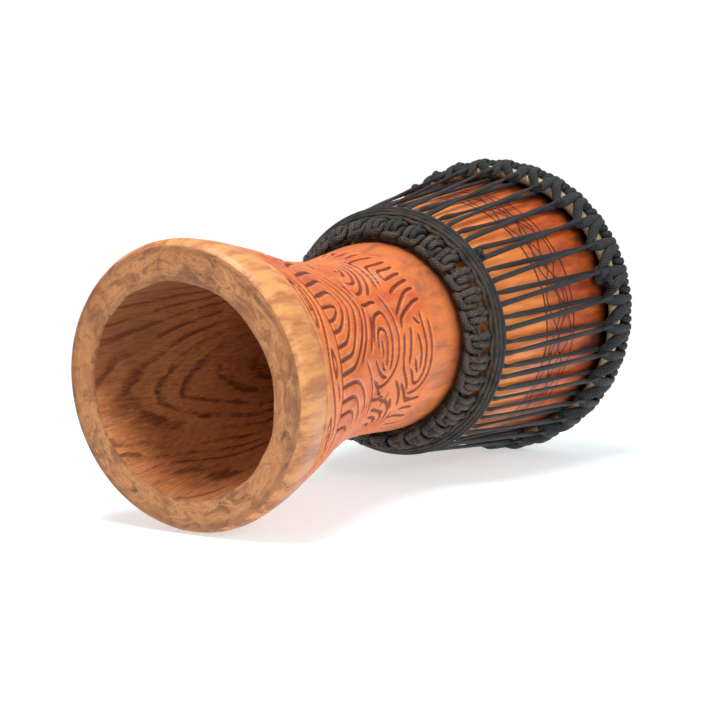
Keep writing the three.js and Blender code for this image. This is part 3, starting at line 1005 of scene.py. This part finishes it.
# %% The crown hitches
crown_hitch = [
    (-3.6, 116.8, 450), (-3.6, 117.6, 456.2), (-3.6, 121, 458.8), (-3.6, 125.4, 458.0),
    (-3.6, 127.6, 453), (-3.6, 127.2, 446), (-3.8, 125.9, 439), (-3.6, 123.2, 433.4),
    (-3.2, 119.6, 430.0), (-2.0, 117.5, 428.0), (0, 117.0, 427.4), (2.0, 117.5, 428.0),
    (3.8, 119.6, 429.6), (6.2, 122.0, 431.4), (9.6, 124.1, 433.8), (13.0, 126.0, 437.2),
    (15.2, 127.6, 443.0), (16.0, 127.9, 450.6), (15.6, 125.6, 457.6), (15.4, 120.6, 459.0),
    (15.4, 117.0, 455.4), (14.8, 116.6, 450), (13.0, 119.4, 447.8), (10.8, 123.6, 447.4),
    (9.4, 126.6, 451.4), (9.1, 125.2, 457.4), (9.0, 120.6, 458.8), (8.4, 116.8, 455),
    (6.8, 116.6, 449.8), (5.0, 119.8, 447.8), (3.4, 124.2, 448.0), (2.8, 127.2, 452.8),
    (2.6, 125.0, 458.0), (2.8, 120, 458.8), (4.6, 116.6, 454.6), (10, 115.4, 450.6),
    (16, 115.4, 450.6), (19.2, 115.8, 448.6),
]
route = rounded(repeated(crown_hitch, 0.5, 22, 0.5, hand=-1), 3.4, 1.7, closed=True)
low_leg = np.clip((436 - route[:, 2]) / 4, 0, 1)
flat = np.hypot(route[:, 0], route[:, 1])
leaning = np.clip((446 - route[:, 2]) / 4, 0, 1) * np.clip((flat - 119) / 3, 0, 1)
width, thick = 6.8 + 2.4 * leaning, 4.9 - 1.5 * low_leg
crown_rope = rope("crown_hitch_rope", route, away_from_rod(route, CROWN), width, thick)
finish_rope(crown_rope, "crown_hitches")

# %% [markdown]
# ## The lacing
# One long rope zig-zags between the rings. It passes through an arch of the waist, lies on the
# opening of the bowl, runs up to a loop of the crown, through it and down again to the next arch.
# The long runs are stretched flat like a ribbon, and each of them has its own slight twist.

# %% The lacing
lace_hitch = []
LOW = (87.9, 267.0)
HIGH = (98.3, 278.0)
for k in range(LOOPS):
    lace_hitch += [on_ring(k, -0.2, 86.4, 256.3), on_ring(k, 0.3, 81.8, 257.9)]
    lace_hitch += [on_ring(k, 1.2, 80.7, 262.8), on_ring(k + 0.2, 0, *LOW)]
    lace_hitch += [on_ring(k + 0.27, 0, *HIGH), on_ring(k + 0.5, -0.6, 112.6, 430.2)]
    lace_hitch += [on_ring(k + 0.5, 0, 117.6, 434.0), on_ring(k + 0.5, 0.6, 122.2, 430.2)]
    lace_hitch += [on_ring(k + 0.73, 0, *HIGH), on_ring(k + 0.8, 0, LOW[0] + 0.3, LOW[1])]
    lace_hitch += [on_ring(k + 1, -1.6, 89.6, 260.6)]
route = rounded(lace_hitch, 4.0, 1.5, closed=True, straight=3.0)
flat = np.hypot(route[:, 0], route[:, 1])
facing = np.stack([route[:, 0] / flat, route[:, 1] / flat, np.full(len(flat), -0.05)], 1)
free_run = np.clip((route[:, 2] - 274) / 10, 0, 1) * np.clip((427 - route[:, 2]) / 8, 0, 1)
run = np.arctan2(route[:, 1], route[:, 0])
twist = 0.55 * np.sin(route[:, 2] / 34 + 5 * np.sin(23 * run)) * free_run
width, thick = 4.2 + 0.1 * free_run, 3.9 - 1.4 * free_run
lace = rope("lacing_rope", route, facing, width, thick, twist, 0.02 + 0.3 * free_run)
finish_rope(lace, "lacing")

# %% [markdown]
# ## Spare rope round the waist
# What is left of the lacing is wound tightly round the waist, over the lacing. Pulled flat and
# pressed together, its turns look like one smooth band with thin seams.


# %% The turns of spare rope
def waist_band(name, node, turns, seed):
    """Closed turns of (r, z), joined into one piece, lying flat on the opening of the bowl."""
    made = []
    for r, z, width, thick, wave in turns:
        steps = 800 if wave else 360
        a = np.linspace(0, 2 * math.pi, steps + 1)[:-1]
        swing = wander(a, np.full(steps, r), seed + int(r), waves=8, finest=14)
        beat = np.cos(a * LOOPS) * wave
        rr, zz = r + 0.18 * swing + 0.3 * beat, z + 0.28 * swing + beat
        route = np.stack([rr * np.cos(a), rr * np.sin(a), zz], 1)
        facing = np.stack([0.76 * np.cos(a), 0.76 * np.sin(a), np.full(steps, -0.65)], 1)
        made.append(rope(name, route, facing, width + 0.25 * swing, thick))
    bpy.ops.object.select_all(action="DESELECT")
    for piece in made:
        piece.select_set(True)
    bpy.context.view_layer.objects.active = made[0]
    bpy.ops.object.join()
    return finish_rope(bpy.context.object, node)


lower = [(90.9, 263.6, 3.3, 3.3, 1.1), (93.7, 265.4, 3.2, 3.0, 0)]
upper = [(95.7, 267.8, 3.2, 3.2, 0), (97.2, 270.2, 3.5, 3.4, 0)]
waist_band("waist_band_lower", "waist_turn_1", lower, 31)
waist_band("waist_band_upper", "waist_turn_2", upper, 37)

# %% [markdown]
# ## The two knots
# The rope ends in a fat overhand knot under the crown, and its cut end is tied off small above
# the waist. An overhand knot drawn tight is close to a trefoil, a curve that three sines give.


# %% Tie the knots
def trefoil(name, node, turn, r, z, size, rope_width, lobes):
    t = np.linspace(0, 2 * math.pi, 97)[:-1]
    depth = 0.34 * np.sin(3 * t)
    across = 0.17 * np.sin(t) + 0.36 * np.sin(2 * t)
    upward = 0.17 * np.cos(t) - 0.36 * np.cos(2 * t)
    local = np.stack([depth, across * lobes[0], upward * lobes[1]], 1) * size
    a = turn * PITCH
    outward = np.array([math.cos(a), math.sin(a), 0])
    sideways = np.array([-math.sin(a), math.cos(a), 0])
    route = local[:, :1] * outward + local[:, 1:2] * sideways + local[:, 2:] * [0, 0, 1]
    route = route + outward * r + [0, 0, z]
    facing = route - outward * r - [0, 0, z]
    knot = rope(name, route, facing, rope_width, rope_width * 0.9)
    return finish_rope(knot, node)


trefoil("tail_knot_rope", "tail_knot", 26.7, 118.8, 427.5, 15.5, 5.2, (1.0, 0.95))
trefoil("end_knot_rope", "end_knot", 24.55, 98.4, 275.4, 6.2, 2.6, (1.2, 0.8))

# %% [markdown]
# ## Floor and light
# The drum lies on a white studio floor. In the drum's own frame that floor is a steep plane
# touching the foot's rim and the crown. It is shown from its upper side only and fades out all
# round, so that the drum can be looked at from anywhere. A white world gives even light, seen
# brighter than it shines, and a large soft lamp above and a smaller one beside the camera draw
# the highlights.

# %% Lay the floor
FLOOR_UP = Vector((-0.70495, -0.70495, 0.0781)).normalized()
FLOOR_BELOW = 0.0946
bpy.ops.object.select_all(action="DESELECT")
bpy.ops.mesh.primitive_plane_add(size=6.0)
floor = bpy.context.object
floor.name = "studio_floor"
turn = FLOOR_UP.to_track_quat("Z", "Y").to_matrix().to_4x4()
floor.data.transform(Matrix.Translation(FLOOR_UP * -FLOOR_BELOW) @ turn)
paper = Finish("white_floor")
paper.set(Base_Color=(0.66, 0.78, 0.82, 1), Roughness=0.9)
paper.set(Emission_Color=(1, 1, 1, 1), Emission_Strength=0.52)
behind = paper.node("ShaderNodeNewGeometry", {}, {}, "Backfacing")
clear = paper.node("ShaderNodeBsdfTransparent", {}, {})
shown = Reading(paper, paper.surface.outputs[0])
spread = ((paper.x * paper.x + paper.y * paper.y + paper.z * paper.z) ** 0.5).rise(0.6, 1.3)
cover = paper.node("ShaderNodeMixShader", {}, {0: spread.most(behind), 1: shown, 2: clear})
paper.plug(cover, paper.tree.nodes["Material Output"].inputs["Surface"])
floor.data.materials.append(paper.material)
print("floor faces", tuple(round(c, 2) for c in FLOOR_UP))


# %% Light the studio
def lamp(name, direction, distance, size, power):
    middle = Vector((0.0, 0.0, 0.22))
    light = bpy.data.lights.new(name, "AREA")
    light.shape = "DISK"
    light.size = size
    light.energy = power
    holder = bpy.data.objects.new(name, light)
    bpy.context.scene.collection.objects.link(holder)
    place = middle + direction.normalized() * distance
    aim = (place - middle).to_track_quat("Z", "Y").to_matrix().to_4x4()
    holder.matrix_world = Matrix.Translation(place) @ aim
    return holder


lamp("overhead", FLOOR_UP + CAMERA_BACK * 0.3 - CAMERA_RIGHT * 0.15, 1.5, 0.8, 20)
lamp("beside_camera", CAMERA_BACK + CAMERA_RIGHT * 0.8 + CAMERA_UP * 0.4, 1.4, 0.5, 6)
LIGHT_LEVEL = 0.45
SEEN_LEVEL = 1.0
world = bpy.data.worlds.new("white_room")
bpy.context.scene.world = world
world.use_nodes = True
sky = world.node_tree.nodes["Background"]
sky.inputs["Color"].default_value = (1, 1, 1, 1)
seen = world.node_tree.nodes.new("ShaderNodeLightPath").outputs["Is Camera Ray"]
level = world.node_tree.nodes.new("ShaderNodeMapRange")
level.inputs["To Min"].default_value = LIGHT_LEVEL
level.inputs["To Max"].default_value = SEEN_LEVEL
world.node_tree.links.new(seen, level.inputs["Value"])
world.node_tree.links.new(level.outputs[0], sky.inputs["Strength"])
bpy.context.scene.view_settings.view_transform = "Standard"
print("lit by two lamps and a white room")
